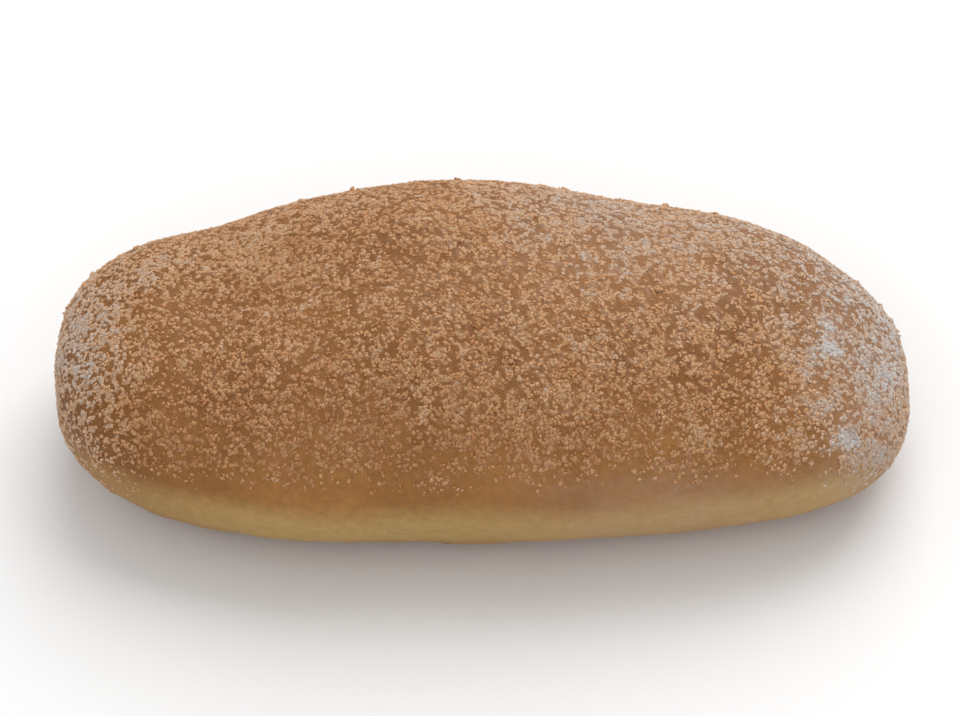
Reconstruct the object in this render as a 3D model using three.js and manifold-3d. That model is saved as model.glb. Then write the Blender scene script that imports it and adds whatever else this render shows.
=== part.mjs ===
// A fried bread roll rolled in sugar: one long bun with a domed crown, blunt rounded ends and a flat
// spot to rest on. The largest clumps of its sugar coat are fused to the crust.
// Millimetres. +X runs along the bun, -Y is its front side, +Z is up, and the origin is under its middle.

import * as THREE from "three";
import { mergeVertices } from "three/addons/utils/BufferGeometryUtils.js";
import Module from "manifold-3d";

// Driving dimensions of the bun
const LENGTH = 160;
const WIDTH = 75;
const HEIGHT = 49;
const WAIST_HEIGHT = 21; // the level at which the bun is widest
const TIP_HEIGHT_LEFT = 19.5;
const TIP_HEIGHT_RIGHT = 14.5;
const TRIMMED_DEPTH = 2; // how far the round underside would sink below the table

// How blunt each end is, as exponents of a superellipse: 2 is an ellipse, and more is squarer
const BLUNT_LEFT = { front: 2.7, back: 3.0, crown: 2.45, underside: 2.9 };
const BLUNT_RIGHT = { front: 3.2, back: 2.05, crown: 2.2, underside: 3.0 };
const SECTION_UPPER = 2.2; // exponents of the cross-section above and below the waist
const SECTION_LOWER = 2.5;

// The risen hump on the crown, and the shallow neck behind the left end.
// Places and spreads along the bun are shares of its half length.
const HUMP_HEIGHT = 3.6;
const HUMP_BULGE = 1.5; // what the hump adds to the back side
const HUMP_AT = -0.13;
const HUMP_SPREAD = 0.26;
const NECK_DEPTH = 2.7;
const NECK_AT = -0.625;
const NECK_SPREAD = 0.145;

// Low ripples that frying leaves in the crust: each is a wave along the bun and around it
const RIPPLES = [
  { height: 0.32, along: 9.4, around: 2, phase: -0.14 },
  { height: 0.26, along: -11.5, around: 3, phase: 0.5 },
  { height: 0.2, along: 13.6, around: 1, phase: 4.04 },
  { height: 0.16, along: 1.2, around: 5, phase: 4.83 },
];

// The sugar clumps
const CLUMPS = 150;
const CLUMP_SMALLEST = 0.7; // radii
const CLUMP_LARGEST = 1.35;
const CLUMP_FLATNESS = 0.62; // a clump's height as a share of its width
const CLUMP_SUNK = 0.25; // how deep its middle lies in the crust, as a share of its radius
const BARE_BELOW = 32; // no clumps on the sides under this height
const SUGARED_END = 0.8; // from here outwards the ends are sugared lower down
const SUGARED_END_BELOW = 18;

// Fineness of the facets
const STEPS_ALONG = 66;
const STEPS_AROUND = 44;

const FRIED_CRUST = new THREE.MeshStandardMaterial({ color: 0x9b6e49, roughness: 0.7, metalness: 0 });

// A share from 1 in the middle of the bun to 0 at its tips, along a superellipse
function taper(s, exponent) {
  return Math.max(0, 1 - Math.abs(s) ** exponent) ** (1 / exponent);
}

function swell(s, middle, spread) {
  return Math.exp(-(((s - middle) / spread) ** 2));
}

function signedPower(value, exponent) {
  return Math.sign(value) * Math.abs(value) ** exponent;
}

// A point of the bun: s runs from -1 at the left tip to 1 at the right tip, and the angle runs around
// the bun from 0 at the back, over the crown at a quarter turn, to the front at a half turn.
function bunPoint(s, angle) {
  const blunt = s < 0 ? BLUNT_LEFT : BLUNT_RIGHT;
  const crownTaper = taper(s, blunt.crown);
  const hump = swell(s, HUMP_AT, HUMP_SPREAD) * crownTaper;
  const neck = NECK_DEPTH * swell(s, NECK_AT, NECK_SPREAD) * crownTaper;
  const tip = THREE.MathUtils.lerp(TIP_HEIGHT_LEFT, TIP_HEIGHT_RIGHT, (s + 1) / 2);
  const waist = THREE.MathUtils.lerp(tip, WAIST_HEIGHT, crownTaper);
  const crown = THREE.MathUtils.lerp(tip, HEIGHT - HUMP_HEIGHT, crownTaper) + HUMP_HEIGHT * hump - neck;
  const underside = THREE.MathUtils.lerp(tip, -TRIMMED_DEPTH, taper(s, blunt.underside));

  const front = (WIDTH / 2) * taper(s, blunt.front);
  const back = Math.max(0, (WIDTH / 2 - HUMP_BULGE) * taper(s, blunt.back) + HUMP_BULGE * hump - neck);

  const across = Math.cos(angle);
  const up = Math.sin(angle);
  const roundness = 2 / (up > 0 ? SECTION_UPPER : SECTION_LOWER);
  const y = (across > 0 ? back : front) * signedPower(across, roundness);
  const z = (up > 0 ? crown - waist : waist - underside) * signedPower(up, roundness);

  let ripple = 0;
  for (const wave of RIPPLES) {
    ripple += wave.height * Math.sin(wave.along * s + wave.around * angle + wave.phase);
  }
  const reach = Math.hypot(y, z);
  const swelling = reach > 0 ? 1 + (ripple * crownTaper) / reach : 1;
  return new THREE.Vector3((s * LENGTH) / 2, y * swelling, waist + z * swelling);
}

// The direction straight out of the crust, from two short steps along the surface
function bunNormal(s, angle) {
  const step = 1e-3;
  const here = bunPoint(s, angle);
  const alongBun = bunPoint(s + step, angle).sub(here);
  const aroundBun = bunPoint(s, angle + step).sub(here);
  return aroundBun.cross(alongBun).normalize();
}

// A unit ball with its poles at the bun's tips, each of its points then moved to the bun's surface
function bunGeometry() {
  const geometry = new THREE.SphereGeometry(1, STEPS_AROUND, STEPS_ALONG).rotateZ(-Math.PI / 2);
  const places = geometry.attributes.position;
  for (let i = 0; i < places.count; i++) {
    const s = THREE.MathUtils.clamp(places.getX(i), -1, 1);
    const point = bunPoint(s, Math.atan2(places.getZ(i), places.getY(i)));
    places.setXYZ(i, point.x, point.y, point.z);
  }
  return geometry;
}

// The clumps lie where the sugar is thickest: on the crown, and lower down round the two ends.
function isSugared(point, s) {
  return point.z > (Math.abs(s) > SUGARED_END ? SUGARED_END_BELOW : BARE_BELOW);
}

// An even scatter over the sugared crust, closer at the ends: the steps are the plastic number's, which
// never line up
function clumpPlaces() {
  const places = [];
  for (let i = 1; places.length < CLUMPS; i++) {
    const s = -Math.cos(Math.PI * ((i * 0.7548776662) % 1));
    const angle = 2 * Math.PI * ((i * 0.5698402910) % 1);
    const point = bunPoint(s, angle);
    if (Math.abs(s) < 0.985 && isSugared(point, s)) {
      places.push({ point, normal: bunNormal(s, angle), size: (i * 0.6180339887) % 1, turn: i });
    }
  }
  return places;
}

// A flattened crystal lump, laid on the crust and turned about the crust's normal
function clumpGeometry({ point, normal, size, turn }) {
  const radius = THREE.MathUtils.lerp(CLUMP_SMALLEST, CLUMP_LARGEST, size * size);
  const lie = new THREE.Quaternion().setFromUnitVectors(new THREE.Vector3(0, 0, 1), normal);
  return new THREE.IcosahedronGeometry(radius, 0)
    .rotateZ(turn)
    .scale(1, 0.8, CLUMP_FLATNESS)
    .rotateZ(2 * turn)
    .translate(0, 0, -CLUMP_SUNK * radius)
    .applyQuaternion(lie)
    .translate(point.x, point.y, point.z);
}

const wasm = await Module();
wasm.setup();

function toSolid(geometry) {
  const bare = geometry.clone();
  bare.deleteAttribute("normal");
  bare.deleteAttribute("uv");
  const merged = mergeVertices(bare, 1e-3);
  const faces = [];
  const corners = merged.index.array;
  for (let i = 0; i < corners.length; i += 3) {
    const [a, b, c] = corners.subarray(i, i + 3);
    if (a !== b && b !== c && c !== a) faces.push(a, b, c);
  }
  const vertProperties = merged.attributes.position.array;
  return new wasm.Manifold(new wasm.Mesh({ numProp: 3, vertProperties, triVerts: new Uint32Array(faces) }));
}

function toGeometry(solid) {
  const { vertProperties, triVerts } = solid.getMesh();
  return new THREE.BufferGeometry()
    .setAttribute("position", new THREE.BufferAttribute(vertProperties, 3))
    .setIndex(new THREE.BufferAttribute(triVerts, 1));
}

// The whole roll: the bun with its clumps joined on, trimmed flat where it rests
function friedBread() {
  let solid = toSolid(bunGeometry());
  for (const place of clumpPlaces()) {
    solid = solid.add(toSolid(clumpGeometry(place)));
  }
  const table = new THREE.BoxGeometry(2 * LENGTH, 2 * WIDTH, HEIGHT).translate(0, 0, -HEIGHT / 2);
  const mesh = new THREE.Mesh(toGeometry(solid.subtract(toSolid(table))), FRIED_CRUST);
  mesh.name = "fried_bread";
  return mesh;
}

const roll = new THREE.Group();
roll.add(friedBread());

export default roll;
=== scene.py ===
"""A fried bread roll rolled in sugar: its crust, its loose sugar in four sizes, its clumps, and a studio.

Sizes are in millimetres until a mesh is made, and then in metres, as the frame is.
+X runs along the roll, -Y is its front side and +Z is up. A place along the roll, s, is a share of its
half length, from -1 at the left tip to 1 at the right tip. A rise is a share of the way from the waist up
to the crown. Two numbers for a stretch are where it starts and ends, and a third is how much it changes.
"""

import math

import bpy
import numpy as np
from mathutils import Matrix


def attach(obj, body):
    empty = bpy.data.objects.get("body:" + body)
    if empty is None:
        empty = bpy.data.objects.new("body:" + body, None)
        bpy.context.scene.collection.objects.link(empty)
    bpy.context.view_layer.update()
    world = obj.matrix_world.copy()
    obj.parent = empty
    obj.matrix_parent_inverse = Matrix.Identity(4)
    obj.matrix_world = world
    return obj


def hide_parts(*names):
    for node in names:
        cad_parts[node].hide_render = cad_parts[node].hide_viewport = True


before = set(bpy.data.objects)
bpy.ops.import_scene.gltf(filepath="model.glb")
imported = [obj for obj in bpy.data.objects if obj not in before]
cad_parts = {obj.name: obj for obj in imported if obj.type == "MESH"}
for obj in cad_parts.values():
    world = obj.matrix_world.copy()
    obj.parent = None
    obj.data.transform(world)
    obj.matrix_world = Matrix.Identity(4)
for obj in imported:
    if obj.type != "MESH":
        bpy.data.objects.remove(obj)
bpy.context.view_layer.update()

MM = 0.001
NOT_ZERO = 1e-12  # the least that a length is divided by

# Driving dimensions of the roll, the same as the solid's
LENGTH = 160.0
WIDTH = 75.0
HEIGHT = 49.0
WAIST_HEIGHT = 21.0
TIP_HEIGHT_LEFT = 19.5
TIP_HEIGHT_RIGHT = 14.5
TRIMMED_DEPTH = 2.0

# How blunt the left and the right end are, as exponents of a superellipse
BLUNT_FRONT = (2.7, 3.2)
BLUNT_BACK = (3.0, 2.05)
BLUNT_CROWN = (2.45, 2.2)
BLUNT_UNDERSIDE = (2.9, 3.0)

# Exponents of the cross-section above and below the waist
SECTION_UPPER = 2.2
SECTION_LOWER = 2.5

# The risen hump on the crown, and the shallow neck behind the left end, with places and spreads of s
HUMP_HEIGHT = 3.6
HUMP_BULGE = 1.5
HUMP_AT = -0.13
HUMP_SPREAD = 0.26
NECK_DEPTH = 2.7
NECK_AT = -0.625
NECK_SPREAD = 0.145

# Low ripples of the crust: height, waves along, waves around, phase
RIPPLES = (
    (0.32, 9.4, 2, -0.14),
    (0.26, -11.5, 3, 0.5),
    (0.2, 13.6, 1, 4.04),
    (0.16, 1.2, 5, 4.83),
)

# Noise is a sum of waves, each with its width in mm, its strength and its seed. A wave's values lie on a
# lattice, which repeats after a number of cubes and is shifted by a number of cubes.
LATTICE_CUBES = 32
LATTICE_SHIFT = 100.0

# Blisters of the crust, which swell or sink by up to their strength in mm
BLISTERS = ((6.0, 0.16, 11), (2.6, 0.11, 12), (1.3, 0.05, 13))

# The pale waist that floats above the frying oil: its heights, the width of its soft edges, how its height
# wavers, and where it fades out towards the left and the right tip
WAIST_TOP = 22.0
WAIST_BOTTOM = 8.0
WAIST_SOFT = 5.0
WAIST_WAVER = ((14.0, 1.2, 31), (4.0, 0.6, 32))
WAIST_FADE_LEFT = (0.45, 1.3)
WAIST_FADE_RIGHT = (0.8, 0.98)

# The crust is browned darker on the crown, and it is also darker towards the left tip.
BROWNED_RISE = (0.4, 0.85)
DARKER_LEFT_TIP = (0.6, 0.9)

# Near the tips, where the crown is low, a rise is a share of at least this height.
LEAST_CROWN = 6.0

# Where the sugar thickens up the sides
SUGAR_RISE = (0.15, 0.5)
SUGAR_RISE_WAVER = ((9.0, 0.1, 41),)

# Towards the tips the sugar comes down the sides along a slant: over this stretch at the slant's height,
# and further out below it. It thins out over the bare heights, and the left end has less.
SUGAR_END = (0.68, 0.94)
SUGAR_END_HEIGHT = 22.0
SUGAR_END_SLANT = 0.014  # shares of the half length for each mm of height
SUGAR_END_WAVER = ((6.0, 0.05, 43),)
SUGAR_END_BARE = (5.0, 17.0)
SUGAR_END_LEFT = 0.5

# Drifts, as shares of the sugar's thickness
SUGAR_DRIFTS = ((7.0, 0.2, 42),)

# Clusters in which grains stick together, wider where the sugar is thicker
CLUSTERS = ((0.62, 0.8, 44), (2.2, 0.2, 45))
CLUSTER_EDGE = (-0.15, 0.15)
CLUSTER_WIDENING = 0.3

# Patches of the upper side where the sugar lies thick and dry: x and y of the middle, the radius, and how
# strongly the patch shows
THICK_PATCHES = (
    (64.0, -10.5, 2.3, 1.0),
    (60.5, -14.0, 2.0, 0.7),
    (64.0, -5.5, 2.2, 0.6),
    (70.5, -19.0, 4.0, 0.4),
    (66.0, -26.5, 2.4, 0.7),
    (61.5, -22.5, 2.2, 0.25),
    (59.5, -18.5, 3.0, 0.25),
    (75.0, -12.0, 7.0, 0.3),
    (71.0, -26.0, 7.0, 0.3),
    (38.5, -31.0, 3.0, 0.4),
    (11.5, -26.5, 6.0, 0.3),
    (-9.5, -29.0, 9.0, 0.25),
    (-61.0, 7.5, 5.0, 0.35),
    (-56.0, 13.0, 6.0, 0.3),
    (-72.0, -4.0, 6.5, 0.15),
    (-71.5, -15.0, 5.5, 0.15),
    (-45.0, 13.0, 8.0, 0.3),
)

# Patches where it lies thin, in the same way
THIN_PATCHES = (
    (57.0, 12.0, 14.0, 0.2),
    (54.0, -1.0, 11.0, 0.15),
    (41.0, -2.0, 8.0, 0.22),
    (21.0, -7.5, 9.0, 0.15),
    (12.5, 7.0, 6.0, 0.3),
    (-12.0, -8.0, 10.0, 0.15),
    (-46.0, -1.5, 7.0, 0.15),
    (-56.0, 1.0, 7.0, 0.15),
    (-65.0, -11.0, 9.0, 0.2),
    (-57.5, -19.0, 3.5, 0.4),
    (53.0, -23.5, 8.0, 0.12),
    (59.0, -27.5, 5.0, 0.2),
)

# The back of the right half's crown, which much dry sugar lies on: its stretches of rise, of y and of s,
# and how it fades towards the tip
RIGHT_BACK_RISE = (0.5, 0.8)
RIGHT_BACK_ACROSS = (-18.0, 20.0)
RIGHT_BACK_ALONG = (-0.15, 0.35)
RIGHT_BACK_FADE = (0.35, 0.8, 0.3)

# The bare side of the right half, which a little dust whitens: its stretches of s and of rise, and how it
# fades towards the tip
DUSTY_ALONG = (-0.1, 0.3)
DUSTY_FADE = (0.5, 0.8, 0.6)
DUSTY_RISE = (0.2, 0.5)

# How white the sugar is, from 0 for amber to 1 for white: everywhere, and how much whiter in some places
WHITE_EVERYWHERE = 0.03
WHITER_RIGHT_HALF = (-0.15, 0.15, 0.08)
# On the crown and the back the whiter sugar is partly drier sugar and partly painted light: the top and the
# back edge are made paler where the lamp above and behind lights them.
WHITER_CROWN_AND_PAINTED_LIGHT = (0.7, 1.0, 0.11)
WHITER_BACK_AND_PAINTED_LIGHT = (8.0, 26.0, 0.12)
WHITER_LEFT_TIP = (0.72, 0.95, 0.36)
WHITER_RIGHT_TIP = (0.55, 0.88, 0.33)
WHITER_RIGHT_BACK = 0.28
WHITER_PATCHES = 0.5
WHITER_CLUSTERS = 0.28
WHITER_DUSTY_SIDE = 0.22
WHITE_DRIFTS = ((9.0, 0.05, 51), (2.8, 0.1, 52))

# How much of the crust a film of the finest sugar clouds: under the grains, with less towards the left
# tip, and as dust in some places
FILM_GRAINS = 0.5
FILM_GRAINS_LEFT = (0.3, 0.8, 0.5)
FILM_DUSTY_SIDE = 0.3
FILM_RIGHT_TIP = (0.58, 0.88, 0.22)
FILM_RIGHT_TIP_HEIGHT = (6.0, 20.0)
FILM_RIGHT_BACK = 0.25
FILM_PATCHES = 0.5
FILM_PATCHES_ALONG = (-0.2, 0.2)
FILM_MOST = 0.8

# Steps of an even sequence of pairs, one over the plastic number and one over its square, and of an even
# sequence of single numbers, one over the golden ratio
PLASTIC_STEPS = (0.7548776662, 0.5698402910)
GOLDEN_STEP = 0.6180339887

# Fineness of the crust's grid, and of the cells that the sugar is spread over
RINGS = 318
SIDES = 300
CELLS = 600
NORMAL_STEP = 1e-3  # the small turn, in radians, over which the crust's direction is measured

# The map that a piece's colours are baked to: its name, the empty margin round the crust on it, and the
# part of a grain's cell that the grain takes up
BAKE_MAP = "OFBake"
MAP_MARGIN = 0.004
CELL_MIDDLE = (0.25, 0.75)

# Forms of a grain, each with its corners, in half sizes, and its faces: a cube, a three-sided chip, and a
# shard that comes to a point. A triangle's corners reach further out, so that it is about as wide as a cube.
UP = np.array([0.0, 0.0, 1.0])
TRIANGLE_REACH = 1.3
CORNER_ANGLES = np.radians([90.0, 210.0, 330.0])
TRIANGLE = np.stack([np.cos(CORNER_ANGLES), np.sin(CORNER_ANGLES), np.zeros(3)], -1) * TRIANGLE_REACH
CUBE = (
    np.array([[x, y, z] for z in (-1, 1) for y in (-1, 1) for x in (-1, 1)], dtype=float),
    np.array([[0, 2, 3, 1], [4, 5, 7, 6], [0, 1, 5, 4], [2, 6, 7, 3], [0, 4, 6, 2], [1, 3, 7, 5]]),
)
CHIP = (
    np.concatenate([TRIANGLE - UP, TRIANGLE + UP]),
    np.array([[0, 2, 1], [3, 4, 5], [0, 1, 4], [0, 4, 3], [1, 2, 5], [1, 5, 4], [2, 0, 3], [2, 3, 5]]),
)
SHARD = (
    np.concatenate([TRIANGLE - UP, [UP]]),
    np.array([[0, 2, 1], [0, 1, 3], [1, 2, 3], [2, 0, 3]]),
)

# How uneven the grains are: the least and the most stretch of length, width and height, how far each
# corner is pushed in or out, both as shares of the half size, how far they lean, and how their tone varies
GRAIN_STRETCH = ((0.9, 0.65, 0.3), (1.35, 1.0, 0.5))
CORNER_PUSH = (0.74, 1.12)
GRAIN_TILT = 0.2
GRAIN_TONE_SPREAD = 0.05

# The loose sugar by size: its form, its seed, how many grains, the smallest and largest half size, the
# share of strays, how far it is lifted as a share of its half height, and how much whiter it is
LOOSE_SUGAR = {
    "sugar_large_crystals": (CUBE, 101, 16000, (0.25, 0.35), 0.0, 0.1, 0.1),
    "sugar_crystals": (CHIP, 102, 24500, (0.22, 0.31), 0.0, 0.0, 0.02),
    "sugar_small_crystals": (CHIP, 103, 24500, (0.16, 0.24), 0.1, 0.0, -0.05),
    "sugar_fines": (SHARD, 104, 48000, (0.1, 0.17), 0.5, 0.0, -0.05),
}

# The largest clumps, which the solid has too
CLUMPS = 150
CLUMP_TRIES = 8 * CLUMPS  # places to choose from
CLUMP_SMALLEST = 0.7
CLUMP_LARGEST = 1.35
CLUMP_BARE_BELOW = 32.0
CLUMP_END = 0.8
CLUMP_END_BARE_BELOW = 18.0
CLUMP_FURTHEST = 0.985

# The crystals of a clump: how many, their half sizes, how far they spread and how high they heap in radii
# of the clump, how they lean, and how white they are
CRYSTALS_IN_CLUMP = 12
CLUMP_SEED = 105
CLUMP_HALF_SIZES = (0.2, 0.38)
CLUMP_SPREAD = 0.42
CLUMP_HEAP = (-0.1, 0.45)
CLUMP_TILT = 0.8
CLUMP_WHITER = 0.1
CLUMP_TONE_SPREAD = 0.08

# Widths and depth of the crust's patterns
BLOTCH_WIDTH = 18.0
MOTTLE_WIDTH = 1.6
PORE_WIDTH = 0.7
PORE_DEPTH = 0.25

# The sockets of a Mix node's two colours, and of their mixture
MIX_FIRST = 6
MIX_SECOND = 7
MIX_RESULT = 2

# The studio: each lamp's place and size in metres and its power in watts, what they look at, the strength
# of the white surround, and half the floor's width
LAMPS = {
    "soft_lamp_above": ((0.35, 0.75, 1.25), 1.3, 15.0),
    "soft_lamp_front": ((-0.3, -1.0, 0.9), 1.0, 3.1),
}
LAMP_TARGET = (0.0, 0.0, 0.02)
SURROUND_STRENGTH = 0.6
FLOOR_HALF = 2000.0

# The photograph's view: where the camera stands, what it looks at, and its long lens
VIEW_AZIMUTH = math.radians(-1.9)
VIEW_ELEVATION = math.radians(47.0)
VIEW_DISTANCE = 900.0
VIEW_TARGET = (-0.5, 0.0, 22.0)
LENS = 180.0
SENSOR_WIDTH = 36.0
NEAREST_SEEN = 0.01  # metres


def linear(hex_colour):
    """An sRGB hex colour as linear red, green, blue and alpha."""
    parts = [int(hex_colour[i : i + 2], 16) / 255 for i in (1, 3, 5)]
    return tuple(c / 12.92 if c <= 0.04045 else ((c + 0.055) / 1.055) ** 2.4 for c in parts) + (1.0,)


def mixed(low, high, share):
    """From low at share 0 to high at share 1."""
    return low + (high - low) * share


def eased(value, start, end):
    """0 up to start and 1 from end, along a cubic that starts and ends level."""
    t = np.clip((value - start) / (end - start), 0.0, 1.0)
    return t * t * (3.0 - 2.0 * t)


def raised(value, start, end, most):
    """0 up to start and most from end, along the same cubic."""
    return most * eased(value, start, end)


def taper(s, blunt):
    """1 in the middle of the roll and 0 at its tips: the p-th root of 1 less |s| to the power p."""
    p = np.where(s < 0.0, blunt[0], blunt[1])
    return np.clip(1.0 - np.abs(s) ** p, 0.0, None) ** (1.0 / p)


def swell(s, middle, spread):
    """A bell curve along the roll."""
    return np.exp(-(((s - middle) / spread) ** 2))


def lattice_wave(points, width, seed):
    """Smooth values from -1 to 1: seeded ones at the corners of cubes, brought together inside each cube.

    Along each axis the corners' shares follow the quintic that starts and ends level and unbent.
    """
    values = np.random.default_rng(seed).uniform(-1.0, 1.0, (LATTICE_CUBES,) * 3)
    scaled = points / width + LATTICE_SHIFT
    corner = np.floor(scaled).astype(int)
    part = scaled - corner
    part = part * part * part * (part * (part * 6.0 - 15.0) + 10.0)
    total = np.zeros(points.shape[:-1])
    for step in np.ndindex(2, 2, 2):
        share = np.prod(np.where(np.array(step) == 1, part, 1.0 - part), axis=-1)
        i, j, k = np.moveaxis((corner + np.array(step)) % LATTICE_CUBES, -1, 0)
        total += share * values[i, j, k]
    return total


def noise(points, waves):
    """The sum of lattice waves, each times its strength."""
    return sum(strength * lattice_wave(points, width, seed) for width, strength, seed in waves)


def levels(s):
    """Along the roll: the heights of the tip line, the waist and the crown, and the hump and the neck.

    Waist and crown rise from the tip line along a superellipse. The hump and the neck are bell curves.
    """
    rise = taper(s, BLUNT_CROWN)
    hump = swell(s, HUMP_AT, HUMP_SPREAD) * rise
    neck = NECK_DEPTH * swell(s, NECK_AT, NECK_SPREAD) * rise
    tip = mixed(TIP_HEIGHT_LEFT, TIP_HEIGHT_RIGHT, (s + 1.0) / 2.0)
    waist = mixed(tip, WAIST_HEIGHT, rise)
    crown = mixed(tip, HEIGHT - HUMP_HEIGHT, rise) + HUMP_HEIGHT * hump - neck
    return tip, waist, crown, hump, neck


def half_widths(s):
    """How far the roll reaches to its front and to its back, along a superellipse towards each tip.

    The hump adds to the back, and the neck takes away.
    """
    _, _, _, hump, neck = levels(s)
    front = WIDTH / 2.0 * taper(s, BLUNT_FRONT)
    back = (WIDTH / 2.0 - HUMP_BULGE) * taper(s, BLUNT_BACK) + HUMP_BULGE * hump - neck
    return front, np.maximum(back, 0.0)


def bun(s, angle):
    """The roll's smooth form.

    The angle runs around the roll from 0 at the back, over the crown, to half a turn at the front. Each
    cross-section is a superellipse in four quarters: its crown, underside, front and back each shrink to
    the tip along a superellipse of their own. Ripples, which are sines, swell each section.
    """
    tip, waist, crown, _, _ = levels(s)
    underside = mixed(tip, -TRIMMED_DEPTH, taper(s, BLUNT_UNDERSIDE))
    front, back = half_widths(s)
    across = np.cos(angle)
    up = np.sin(angle)
    power = 2.0 / np.where(up > 0.0, SECTION_UPPER, SECTION_LOWER)
    y = np.where(across > 0.0, back, front) * np.sign(across) * np.abs(across) ** power
    z = np.where(up > 0.0, crown - waist, waist - underside) * np.sign(up) * np.abs(up) ** power
    ripple = sum(h * np.sin(along * s + around * angle + phase) for h, along, around, phase in RIPPLES)
    swelling = 1.0 + ripple * taper(s, BLUNT_CROWN) / np.maximum(np.hypot(y, z), NOT_ZERO)
    return np.stack(np.broadcast_arrays(s * LENGTH / 2.0, y * swelling, waist + z * swelling), axis=-1)


def crust(turn, angle):
    """Points of the fried crust and the directions out of it. The turn runs from -90 to 90 degrees.

    s is the sine of the turn, so that the rings lie closer towards the tips. The bun's point moves along
    its normal by noise, for blisters, and nothing sinks below the table.
    """
    turn, angle = np.broadcast_arrays(turn, angle)
    here = bun(np.sin(turn), angle)
    along = bun(np.sin(turn + NORMAL_STEP), angle) - bun(np.sin(turn - NORMAL_STEP), angle)
    around = bun(np.sin(turn), angle + NORMAL_STEP) - bun(np.sin(turn), angle - NORMAL_STEP)
    normal = np.cross(around, along)
    normal /= np.maximum(np.linalg.norm(normal, axis=-1, keepdims=True), NOT_ZERO)
    points = here + normal * noise(here, BLISTERS)[..., None]
    points[..., 2] = np.maximum(points[..., 2], 0.0)
    return points, normal


def along_roll(points):
    """Where points lie along the roll, as s."""
    return np.clip(points[..., 0] / (LENGTH / 2), -1.0, 1.0)


def rise_to_crown(points):
    """How far up points lie, from 0 at the waist to 1 at the crown."""
    _, waist, crown, _, _ = levels(along_roll(points))
    return (points[..., 2] - waist) / np.maximum(crown - waist, LEAST_CROWN)


def upper_height(x, y):
    """The height of the roll's upper side at x and y: a superellipse from the waist to the crown."""
    s = x / (LENGTH / 2)
    _, waist, crown, _, _ = levels(s)
    front, back = half_widths(s)
    outwards = np.minimum(np.abs(y) / np.where(y > 0.0, back, front), 1.0)
    return waist + (crown - waist) * (1.0 - outwards**SECTION_UPPER) ** (1.0 / SECTION_UPPER)


def pale_waist(points):
    """How pale the crust is, 0 to 1: a band between two wavering heights that fades out at the tips."""
    height = points[..., 2] + noise(points, WAIST_WAVER)
    top = 1.0 - eased(height, WAIST_TOP - WAIST_SOFT, WAIST_TOP + WAIST_SOFT / 2)
    bottom = eased(height, WAIST_BOTTOM - WAIST_SOFT, WAIST_BOTTOM + WAIST_SOFT)
    s = along_roll(points)
    ends = (1.0 - eased(-s, *WAIST_FADE_LEFT)) * (1.0 - eased(s, *WAIST_FADE_RIGHT))
    return top * bottom * ends


def crust_darkness(points):
    """How dark the crust is, 0 to 1: it eases up towards the crown and towards the left tip."""
    left_tip = eased(-along_roll(points), *DARKER_LEFT_TIP)
    return np.maximum(eased(rise_to_crown(points), *BROWNED_RISE), left_tip)


def in_patches(points, patches):
    """How much patches of sugar show, up to 1: bell curves round each patch's middle on the roll."""
    total = np.zeros(points.shape[:-1])
    for x, y, radius, strength in patches:
        apart = np.linalg.norm(points - np.array([x, y, upper_height(x, y)]), axis=-1)
        total += strength * np.exp(-((apart / radius) ** 2))
    return np.minimum(total, 1.0)


def sugar_thickness(points):
    """How thickly the sugar lies, 0 to about 2.

    It eases in up the sides and, along a slant, towards the tips. Thick and thin patches add and take
    away, and noise gathers it in drifts.
    """
    height = points[..., 2]
    sides = eased(rise_to_crown(points) + noise(points, SUGAR_RISE_WAVER), *SUGAR_RISE)
    slant = SUGAR_END_SLANT * (height - SUGAR_END_HEIGHT) + noise(points, SUGAR_END_WAVER)
    ends = eased(np.abs(along_roll(points)) + slant, *SUGAR_END) * eased(height, *SUGAR_END_BARE)
    ends = ends * np.where(points[..., 0] > 0.0, 1.0, SUGAR_END_LEFT)
    patches = in_patches(points, THICK_PATCHES) - in_patches(points, THIN_PATCHES)
    thick = np.maximum(np.maximum(sides, ends) + patches, 0.0)
    return thick * (1.0 + noise(points, SUGAR_DRIFTS))


def sugar_cover(points):
    """How much sugar lies at a point: its thickness inside clusters of grains, and none between them.

    Clusters are where fine noise is high, and the thicker the sugar, the wider they are.
    """
    thick = sugar_thickness(points)
    return thick * eased(noise(points, CLUSTERS) + CLUSTER_WIDENING * (thick - 1.0), *CLUSTER_EDGE)


def right_back(points):
    """Up to 1 on the back of the crown in the right half, less towards the tip, and 0 elsewhere."""
    s = along_roll(points)
    crown = eased(rise_to_crown(points), *RIGHT_BACK_RISE) * eased(points[..., 1], *RIGHT_BACK_ACROSS)
    return crown * eased(s, *RIGHT_BACK_ALONG) * (1.0 - raised(s, *RIGHT_BACK_FADE))


def dusty_side(points):
    """Up to 1 on the right half's bare side, less towards the tip, and 0 on the left and the crown."""
    s = along_roll(points)
    along = eased(s, *DUSTY_ALONG) * (1.0 - raised(s, *DUSTY_FADE))
    return along * (1.0 - eased(rise_to_crown(points), *DUSTY_RISE))


def whiteness(points):
    """How white the sugar of a place is, about 0 to 1.

    It is amber where oil soaked in. It eases up to whiter on the right half, the crown, the back and the
    tips, and is whiter in thick patches, with noise for drifts. On the crown and the back the whiter sugar
    is partly drier sugar and partly painted light.
    """
    s = along_roll(points)
    white = WHITE_EVERYWHERE + raised(s, *WHITER_RIGHT_HALF) + raised(rise_to_crown(points), *WHITER_CROWN_AND_PAINTED_LIGHT)
    white = white + raised(points[..., 1], *WHITER_BACK_AND_PAINTED_LIGHT) + WHITER_RIGHT_BACK * right_back(points)
    white = white + raised(-s, *WHITER_LEFT_TIP) + raised(s, *WHITER_RIGHT_TIP)
    return white + noise(points, WHITE_DRIFTS) + WHITER_PATCHES * in_patches(points, THICK_PATCHES)


def sugar_whiteness(points):
    """How white a grain is, 0 to 1: the whiteness of its place, more inside a cluster and less between."""
    return np.clip(whiteness(points) + WHITER_CLUSTERS * noise(points, CLUSTERS), 0.0, 1.0)


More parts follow.
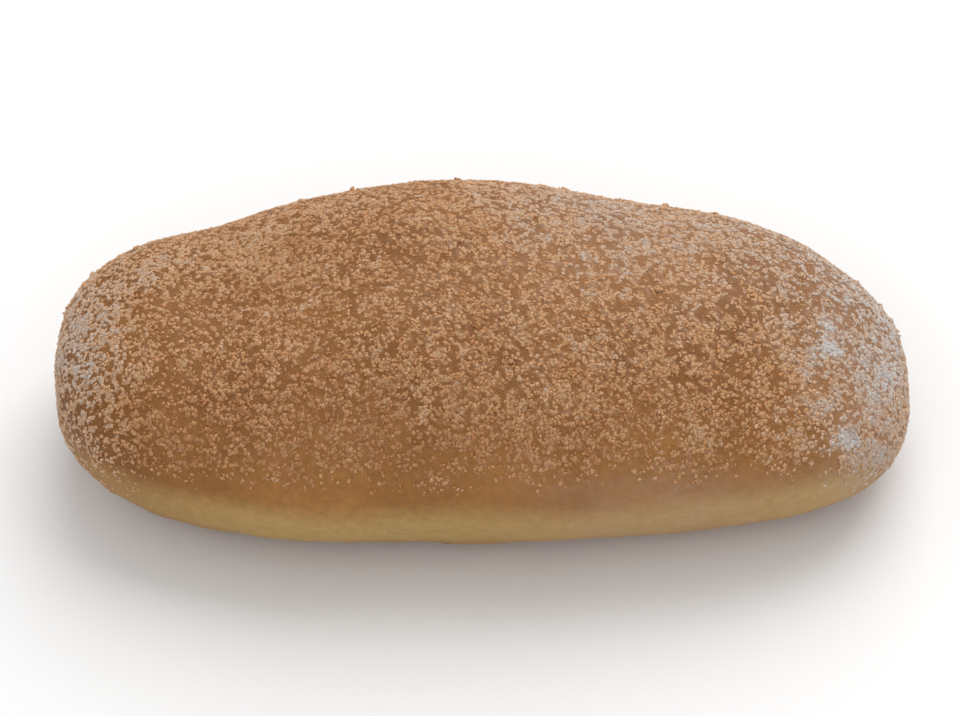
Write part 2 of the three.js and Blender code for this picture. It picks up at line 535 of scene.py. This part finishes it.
def sugar_film(points):
    """How much of the crust the finest sugar clouds, 0 to 1.

    It lies under the grains, less so towards the left tip. To that is added the most of the dusty side's,
    the right tip's and the right back's dust, and the dust of the right half's thick patches.
    """
    s = along_roll(points)
    under_grains = FILM_GRAINS * sugar_cover(points) * (1.0 - raised(-s, *FILM_GRAINS_LEFT))
    right_tip = raised(s, *FILM_RIGHT_TIP) * eased(points[..., 2], *FILM_RIGHT_TIP_HEIGHT)
    dust = np.maximum(FILM_DUSTY_SIDE * dusty_side(points), right_tip)
    dust = np.maximum(dust, FILM_RIGHT_BACK * right_back(points))
    dust = dust + FILM_PATCHES * in_patches(points, THICK_PATCHES) * eased(s, *FILM_PATCHES_ALONG)
    return np.clip(under_grains + dust, 0.0, FILM_MOST)


def mesh_piece(name, points, face_sets, flat_places, material):
    """An object at the origin from points in mm and arrays of faces, each with its own corner count.

    The flat places are where each face's corners lie on the map that its colours are baked to.
    """
    corners = np.concatenate([f.ravel() for f in face_sets])
    counts = np.concatenate([np.full(len(f), f.shape[1]) for f in face_sets])
    starts = np.concatenate([[0], np.cumsum(counts)[:-1]])
    mesh = bpy.data.meshes.new(name)
    mesh.vertices.add(len(points))
    mesh.vertices.foreach_set("co", (points * MM).astype(np.float32).ravel())
    mesh.loops.add(len(corners))
    mesh.loops.foreach_set("vertex_index", corners.astype(np.int32))
    mesh.polygons.add(len(counts))
    mesh.polygons.foreach_set("loop_start", starts.astype(np.int32))
    mesh.update(calc_edges=True)
    mesh.validate()
    bake_map = mesh.uv_layers.new(name=BAKE_MAP)
    bake_map.uv.foreach_set("vector", flat_places.astype(np.float32).ravel())
    mesh.materials.append(material)
    piece = bpy.data.objects.new(name, mesh)
    bpy.context.scene.collection.objects.link(piece)
    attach(piece, "root")
    return piece


def point_values(piece, name, values):
    """Stores a number for each of a piece's points, which its material reads by name."""
    attribute = piece.data.attributes.new(name, "FLOAT", "POINT")
    attribute.data.foreach_set("value", values.astype(np.float32))


def crust_faces():
    """The crust's faces: quads between the rings, and a fan of triangles round each tip.

    Points are numbered ring by ring, and the two tips come last.
    """
    ring = np.arange(RINGS - 1)[:, None] * SIDES
    side = np.arange(SIDES)
    beside = (side + 1) % SIDES
    quads = np.stack([ring + side, ring + beside, ring + SIDES + beside, ring + SIDES + side], -1)
    last = (RINGS - 1) * SIDES
    left_tip = np.full(SIDES, RINGS * SIDES)
    left = np.stack([left_tip, beside, side], -1)
    right = np.stack([left_tip + 1, last + side, last + beside], -1)
    return [quads.reshape(-1, 4), left, right]


def crust_map():
    """Where the corners of the crust's faces lie on its flat map, inside a narrow margin.

    Sides run across and rings run up. Each tip is spread out along an edge.
    """
    across, up = np.broadcast_arrays(np.arange(SIDES), np.arange(1, RINGS)[:, None])
    quads = np.stack([across, up, across + 1, up, across + 1, up + 1, across, up + 1], -1)
    side = np.arange(SIDES)
    bottom = np.zeros(SIDES)
    top = bottom + RINGS + 1
    left = np.stack([side + 0.5, bottom, side + 1, bottom + 1, side, bottom + 1], -1)
    right = np.stack([side + 0.5, top, side, top - 1, side + 1, top - 1], -1)
    flat = np.concatenate([part.reshape(-1, 2) for part in (quads, left, right)])
    return mixed(MAP_MARGIN, 1.0 - MAP_MARGIN, flat / np.array([SIDES, RINGS + 1]))


def crust_piece(material):
    """The crust on a grid of rings and sides, with one point for each tip."""
    turns = np.linspace(-math.pi / 2, math.pi / 2, RINGS + 2)[1:-1]
    angles = np.linspace(0.0, 2 * math.pi, SIDES, endpoint=False)
    rings, _ = crust(turns[:, None], angles[None, :])
    tips = bun(np.array([-1.0, 1.0]), np.zeros(2))
    points = np.concatenate([rings.reshape(-1, 3), tips])
    piece = mesh_piece("fried_crust", points, crust_faces(), crust_map(), material)
    piece.data.polygons.foreach_set("use_smooth", np.ones(len(piece.data.polygons), dtype=bool))
    point_values(piece, "pale", pale_waist(points))
    point_values(piece, "crust_darkness", crust_darkness(points))
    point_values(piece, "film", sugar_film(points))
    # The crust's dust takes the sugar's whiteness, which on the crown and the back is partly painted light.
    point_values(piece, "dry", np.clip(sugar_whiteness(points) + WHITER_DUSTY_SIDE * dusty_side(points), 0.0, 1.0))
    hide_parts("fried_bread")


def cell_weights(turns, angles, strays):
    """How much sugar each cell between the turns and angles takes: its area times the sugar's cover.

    The strays are the share that goes by the sugar's thickness, and so lies between the clusters too.
    """
    half_turn = (turns[1] - turns[0]) / 2
    half_angle = (angles[1] - angles[0]) / 2
    turn, angle = np.meshgrid(turns[:-1] + half_turn, angles[:-1] + half_angle, indexing="ij")
    along = bun(np.sin(turn + half_turn), angle) - bun(np.sin(turn - half_turn), angle)
    around = bun(np.sin(turn), angle + half_angle) - bun(np.sin(turn), angle - half_angle)
    area = np.linalg.norm(np.cross(along, around), axis=-1)
    middles = bun(np.sin(turn), angle)
    return area * mixed(sugar_cover(middles), sugar_thickness(middles), strays)


def scattered(rng, count, strays):
    """Points spread evenly over the sugared crust, and the directions out of it.

    An even sequence of pairs, stepped by the plastic number's two fractions and shaken a little, is bent
    by the running sums of the cells' weights, first along the roll and then around it, so that points
    crowd where the sugar is thick.
    """
    turns = np.linspace(-math.pi / 2, math.pi / 2, CELLS + 1)
    angles = np.linspace(0.0, 2 * math.pi, CELLS + 1)
    weight = cell_weights(turns, angles, strays)
    pairs = np.arange(count)[:, None] * np.array(PLASTIC_STEPS) + rng.uniform(size=2)
    pairs = pairs + rng.uniform(-0.5, 0.5, (count, 2)) / math.sqrt(count)
    first, second = np.moveaxis(pairs % 1.0, 1, 0)
    rings = np.cumsum(weight.sum(axis=1))
    ring = np.searchsorted(rings / rings[-1], first)
    ring_sums = np.cumsum(weight, axis=1)
    ring_sums = ring_sums / np.maximum(ring_sums[:, -1:], NOT_ZERO) + np.arange(CELLS)[:, None]
    cell = np.searchsorted(ring_sums.ravel(), second + ring) % CELLS
    turn = turns[ring] + rng.uniform(size=count) * (turns[1] - turns[0])
    angle = angles[cell] + rng.uniform(size=count) * (angles[1] - angles[0])
    return crust(turn, angle)


def lying_axes(rng, normals, tilt):
    """Three axes for each grain, turned at random. The third leans off the normal by about the tilt."""
    lean = normals + tilt * rng.normal(size=normals.shape)
    third = lean / np.linalg.norm(lean, axis=1, keepdims=True)
    other = rng.normal(size=normals.shape)
    first = np.cross(third, other)
    first /= np.linalg.norm(first, axis=1, keepdims=True)
    return np.stack([first, np.cross(third, first), third], axis=1)


def grains(rng, points, normals, half_sizes, form, lift, tilt):
    """The corners of a grain at each point, as an array of grains, corners and coordinates.

    Each grain is the form's corners, stretched by three random half sizes, each corner pushed in or out
    a little, turned to lie on the crust and lifted by a share of its half height.
    """
    count = len(points)
    corners = form[0]
    axes = lying_axes(rng, normals, tilt)
    half = rng.uniform(*half_sizes, (count, 1)) * rng.uniform(*GRAIN_STRETCH, (count, 3))
    shape = corners[None] * half[:, None, :] * rng.uniform(*CORNER_PUSH, (count, len(corners), 1))
    middle = points + normals * half[:, 2:3] * lift
    placed = middle[:, None, :] + shape @ axes
    placed[..., 2] = np.maximum(placed[..., 2], 0.0)
    return placed


def grain_piece(name, placed, form, tones, material):
    """One joined mesh of grains, with each grain's tone on all its corners.

    On its flat map each grain has a square cell, and all its faces share the middle of the cell, because
    a grain is one colour all over.
    """
    corners, faces = form
    grain = np.arange(len(placed))
    every_face = (grain[:, None, None] * len(corners) + faces[None]).reshape(-1, faces.shape[1])
    cells = math.ceil(math.sqrt(len(placed)))
    cell = np.stack([grain % cells, grain // cells], -1)
    low, high = CELL_MIDDLE
    square = np.array([[low, low], [high, low], [high, high], [low, high]])[: faces.shape[1]]
    flat = np.repeat(cell[:, None, None, :] + square, len(faces), axis=1) / cells
    piece = mesh_piece(name, placed.reshape(-1, 3), [every_face], flat, material)
    point_values(piece, "tone", np.repeat(tones, len(corners)))


def sugar_piece(name, form, seed, count, half_sizes, strays, lift, whiter, material):
    """Sugar grains of one kind, scattered over the crust."""
    rng = np.random.default_rng(seed)
    points, normals = scattered(rng, count, strays)
    placed = grains(rng, points, normals, half_sizes, form, lift, GRAIN_TILT)
    # A grain's tone follows its place's whiteness, which on the crown and the back is partly painted light.
    tones = np.clip(sugar_whiteness(points) + whiter + rng.normal(0.0, GRAIN_TONE_SPREAD, count), 0.0, 1.0)
    grain_piece(name, placed, form, tones, material)


def clump_places():
    """The places, directions and radii of the solid's largest clumps, by the same rule.

    The i-th place steps along and around by the plastic number's two fractions, and its size by the
    golden ratio's. Places on the bare sides are passed over.
    """
    i = np.arange(1, CLUMP_TRIES)
    s = -np.cos(math.pi * ((i * PLASTIC_STEPS[0]) % 1.0))
    angle = 2.0 * math.pi * ((i * PLASTIC_STEPS[1]) % 1.0)
    height = bun(s, angle)[:, 2]
    bare_below = np.where(np.abs(s) > CLUMP_END, CLUMP_END_BARE_BELOW, CLUMP_BARE_BELOW)
    kept = np.nonzero((np.abs(s) < CLUMP_FURTHEST) & (height > bare_below))[0][:CLUMPS]
    size = (i[kept] * GOLDEN_STEP) % 1.0
    points, normals = crust(np.arcsin(s[kept]), angle[kept])
    return points, normals, mixed(CLUMP_SMALLEST, CLUMP_LARGEST, size * size)


def clump_piece(name, form, material):
    """The largest clumps, each several crystals stuck together inside the clump's radius.

    The crystals lie in a bell-shaped heap: spread at random over the crust, and highest in the middle.
    """
    rng = np.random.default_rng(CLUMP_SEED)
    points, normals, radii = (np.repeat(part, CRYSTALS_IN_CLUMP, axis=0) for part in clump_places())
    count = len(points)
    spread = rng.normal(size=(count, 3)) * CLUMP_SPREAD
    spread -= normals * np.sum(spread * normals, axis=1, keepdims=True)
    heap = np.exp(-np.sum(spread * spread, axis=1, keepdims=True)) * rng.uniform(*CLUMP_HEAP, (count, 1))
    middles = points + radii[:, None] * (spread + normals * heap)
    placed = grains(rng, middles, normals, CLUMP_HALF_SIZES, form, 0.0, CLUMP_TILT)
    # A clump's tone follows its place's whiteness, which on the crown and the back is partly painted light.
    tones = whiteness(points) + CLUMP_WHITER + rng.normal(0.0, CLUMP_TONE_SPREAD, count)
    grain_piece(name, placed, form, np.clip(tones, 0.0, 1.0), material)


def add_node(tree, kind, settings=None, inputs=None, links=None, stops=()):
    """Adds a shader node.

    Settings are its own values, inputs its sockets' values, links what feeds its sockets, and stops the
    places and colours of its colour ramp, from low to high.
    """
    node = tree.nodes.new(kind)
    for name, value in (settings or {}).items():
        setattr(node, name, value)
    for name, value in (inputs or {}).items():
        node.inputs[name].default_value = value
    for name, source in (links or {}).items():
        tree.links.new(source, node.inputs[name])
    if stops:
        ramp = node.color_ramp.elements
        ramp[0].position = stops[0][0]
        ramp[1].position = stops[-1][0]
        for place, _ in stops[1:-1]:
            ramp.new(place)
        for stop, (_, colour) in zip(ramp, stops):
            stop.color = linear(colour)
    return node


def new_material(name):
    """A material without nodes, and its node tree."""
    material = bpy.data.materials.new(name)
    material.use_nodes = True
    material.node_tree.nodes.clear()
    return material, material.node_tree


def per_metre(width_mm):
    """The scale of a pattern whose features are that wide."""
    return 1.0 / (width_mm * MM)


def fried_crust_material():
    """Deep-fried wheat dough: a thin brown skin, mottled where it blistered, with a pale soft waist.

    The eye sees a dull oily sheen, brown patches a centimetre or two wide, fine mottling, and a yellow
    band where the dough never lay in the oil. A film of the finest sugar clouds it.
    """
    material, tree = new_material("deep_fried_dough_crust")
    place = add_node(tree, "ShaderNodeTexCoord").outputs["Object"]
    pale, dark, film, dry = (
        add_node(tree, "ShaderNodeAttribute", {"attribute_name": name}).outputs["Fac"]
        for name in ("pale", "crust_darkness", "film", "dry")
    )
    blotches = add_node(
        tree, "ShaderNodeTexNoise",
        inputs={"Scale": per_metre(BLOTCH_WIDTH), "Detail": 3.0},
        links={"Vector": place},
    )
    mottle = add_node(
        tree, "ShaderNodeTexNoise",
        inputs={"Scale": per_metre(MOTTLE_WIDTH), "Detail": 4.0, "Roughness": 0.6},
        links={"Vector": place},
    )
    pores = add_node(
        tree, "ShaderNodeTexNoise",
        inputs={"Scale": per_metre(PORE_WIDTH), "Detail": 2.0},
        links={"Vector": place},
    )
    side_browns = add_node(
        tree, "ShaderNodeValToRGB",
        links={"Fac": blotches.outputs["Fac"]},
        stops=((0.3, "#895b2b"), (0.7, "#a06e39")),
    )
    crown_browns = add_node(
        tree, "ShaderNodeValToRGB",
        links={"Fac": blotches.outputs["Fac"]},
        stops=((0.3, "#7a4e27"), (0.7, "#906032")),
    )
    browns = add_node(
        tree, "ShaderNodeMix", {"data_type": "RGBA"},
        links={
            "Factor": dark,
            MIX_FIRST: side_browns.outputs["Color"],
            MIX_SECOND: crown_browns.outputs["Color"],
        },
    )
    fine = add_node(
        tree, "ShaderNodeMapRange",
        inputs={"From Min": 0.3, "From Max": 0.7, "To Min": 0.85, "To Max": 1.15},
        links={"Value": mottle.outputs["Fac"]},
    )
    mottled = add_node(
        tree, "ShaderNodeVectorMath", {"operation": "SCALE"},
        links={0: browns.outputs[MIX_RESULT], "Scale": fine.outputs["Result"]},
    )
    creams = add_node(
        tree, "ShaderNodeValToRGB",
        links={"Fac": mottle.outputs["Fac"]},
        stops=((0.3, "#a6854c"), (0.75, "#b69663")),
    )
    banded = add_node(
        tree, "ShaderNodeMix", {"data_type": "RGBA"},
        links={"Factor": pale, MIX_FIRST: mottled.outputs["Vector"], MIX_SECOND: creams.outputs["Color"]},
    )
    # The film's colour follows the sugar's whiteness, which on the crown and the back is partly painted
    # light.
    dusts = add_node(
        tree, "ShaderNodeValToRGB",
        links={"Fac": dry},
        stops=((0.0, "#a5754a"), (1.0, "#c2b3ab")),
    )
    dusted = add_node(
        tree, "ShaderNodeMix", {"data_type": "RGBA"},
        links={"Factor": film, MIX_FIRST: banded.outputs[MIX_RESULT], MIX_SECOND: dusts.outputs["Color"]},
    )
    sheen = add_node(
        tree, "ShaderNodeMapRange",
        inputs={"From Min": 0.3, "From Max": 0.7, "To Min": 0.48, "To Max": 0.68},
        links={"Value": mottle.outputs["Fac"]},
    )
    bump = add_node(
        tree, "ShaderNodeBump",
        inputs={"Strength": 0.35, "Distance": PORE_DEPTH * MM},
        links={"Height": pores.outputs["Fac"]},
    )
    shader = add_node(
        tree, "ShaderNodeBsdfPrincipled",
        inputs={
            "IOR": 1.45,
            "Specular IOR Level": 0.25,
            "Subsurface Weight": 0.08,
            "Subsurface Radius": (1.0, 0.5, 0.25),
            "Subsurface Scale": 1.5 * MM,
        },
        links={
            "Base Color": dusted.outputs[MIX_RESULT],
            "Roughness": sheen.outputs["Result"],
            "Normal": bump.outputs["Normal"],
        },
    )
    add_node(tree, "ShaderNodeOutputMaterial", links={"Surface": shader.outputs["BSDF"]})
    return material


def sugar_material():
    """Granulated sugar, crystallised and rolled on while the roll was oily.

    The eye sees small glassy blocks, amber where they took up oil and white where they stayed dry. On the
    crown and the back their whiteness is partly painted light.
    """
    material, tree = new_material("granulated_sugar_crystals")
    tone = add_node(tree, "ShaderNodeAttribute", {"attribute_name": "tone"}).outputs["Fac"]
    sugars = add_node(
        tree, "ShaderNodeValToRGB",
        links={"Fac": tone},
        stops=((0.0, "#ab7040"), (0.3, "#cb9361"), (0.5, "#d3a580"), (0.75, "#cbb2a0"), (1.0, "#d8cdc7")),
    )
    shader = add_node(
        tree, "ShaderNodeBsdfPrincipled",
        inputs={
            "Roughness": 0.38,
            "IOR": 1.54,
            "Specular IOR Level": 0.4,
            "Subsurface Weight": 0.4,
            "Subsurface Radius": (1.0, 0.8, 0.6),
            "Subsurface Scale": 0.6 * MM,
        },
        links={"Base Color": sugars.outputs["Color"]},
    )
    add_node(tree, "ShaderNodeOutputMaterial", links={"Surface": shader.outputs["BSDF"]})
    return material


def floor_material():
    """Matt white studio card, which gives the eye an even pale ground with a soft shadow."""
    material, tree = new_material("white_studio_floor")
    shader = add_node(
        tree, "ShaderNodeBsdfPrincipled",
        inputs={"Base Color": linear("#f4f4f4"), "Roughness": 0.9},
    )
    add_node(tree, "ShaderNodeOutputMaterial", links={"Surface": shader.outputs["BSDF"]})
    return material


def make_floor():
    """A plain pale floor under the roll: a square wide enough to fill every view."""
    half = FLOOR_HALF * MM
    points = [(-half, -half, 0.0), (half, -half, 0.0), (half, half, 0.0), (-half, half, 0.0)]
    mesh = bpy.data.meshes.new("floor")
    mesh.from_pydata(points, [], [(0, 1, 2, 3)])
    mesh.materials.append(floor_material())
    floor = bpy.data.objects.new("floor", mesh)
    bpy.context.scene.collection.objects.link(floor)


def aim(thing, place, target):
    """Puts a lamp or a camera at a place, looking at the target."""
    thing.location = place
    way = np.array(target) - np.array(place)
    side = math.atan2(way[0], -way[1])
    thing.rotation_euler = (math.atan2(math.hypot(way[0], way[1]), -way[2]), 0.0, math.pi + side)


def make_lamp(name, place, size, power):
    """A square soft lamp that looks at the roll."""
    light = bpy.data.lights.new(name, "AREA")
    light.size = size
    light.energy = power
    lamp = bpy.data.objects.new(name, light)
    bpy.context.scene.collection.objects.link(lamp)
    aim(lamp, place, LAMP_TARGET)


def make_studio():
    """An even white surround, one large soft lamp above and behind the roll, and a weak one in front."""
    world = bpy.data.worlds.new("white_surround")
    world.use_nodes = True
    surround = world.node_tree.nodes["Background"]
    surround.inputs["Color"].default_value = (1.0, 1.0, 1.0, 1.0)
    surround.inputs["Strength"].default_value = SURROUND_STRENGTH
    bpy.context.scene.world = world
    bpy.context.scene.view_settings.view_transform = "Standard"
    for name, lamp in LAMPS.items():
        make_lamp(name, *lamp)
    make_floor()


def make_camera():
    """A long lens at the photograph's viewing angle."""
    data = bpy.data.cameras.new("camera")
    data.sensor_width = SENSOR_WIDTH
    data.lens = LENS
    data.clip_start = NEAREST_SEEN
    camera = bpy.data.objects.new("camera", data)
    bpy.context.scene.collection.objects.link(camera)
    level = VIEW_DISTANCE * math.cos(VIEW_ELEVATION)
    height = VIEW_DISTANCE * math.sin(VIEW_ELEVATION)
    away = np.array([level * math.sin(VIEW_AZIMUTH), -level * math.cos(VIEW_AZIMUTH), height])
    target = np.array(VIEW_TARGET)
    aim(camera, tuple((away + target) * MM), tuple(target * MM))
    bpy.context.scene.camera = camera


make_camera()
make_studio()
crust_piece(fried_crust_material())
sugar = sugar_material()
for name, kind in LOOSE_SUGAR.items():
    sugar_piece(name, *kind, sugar)
clump_piece("sugar_clumps", CUBE, sugar)
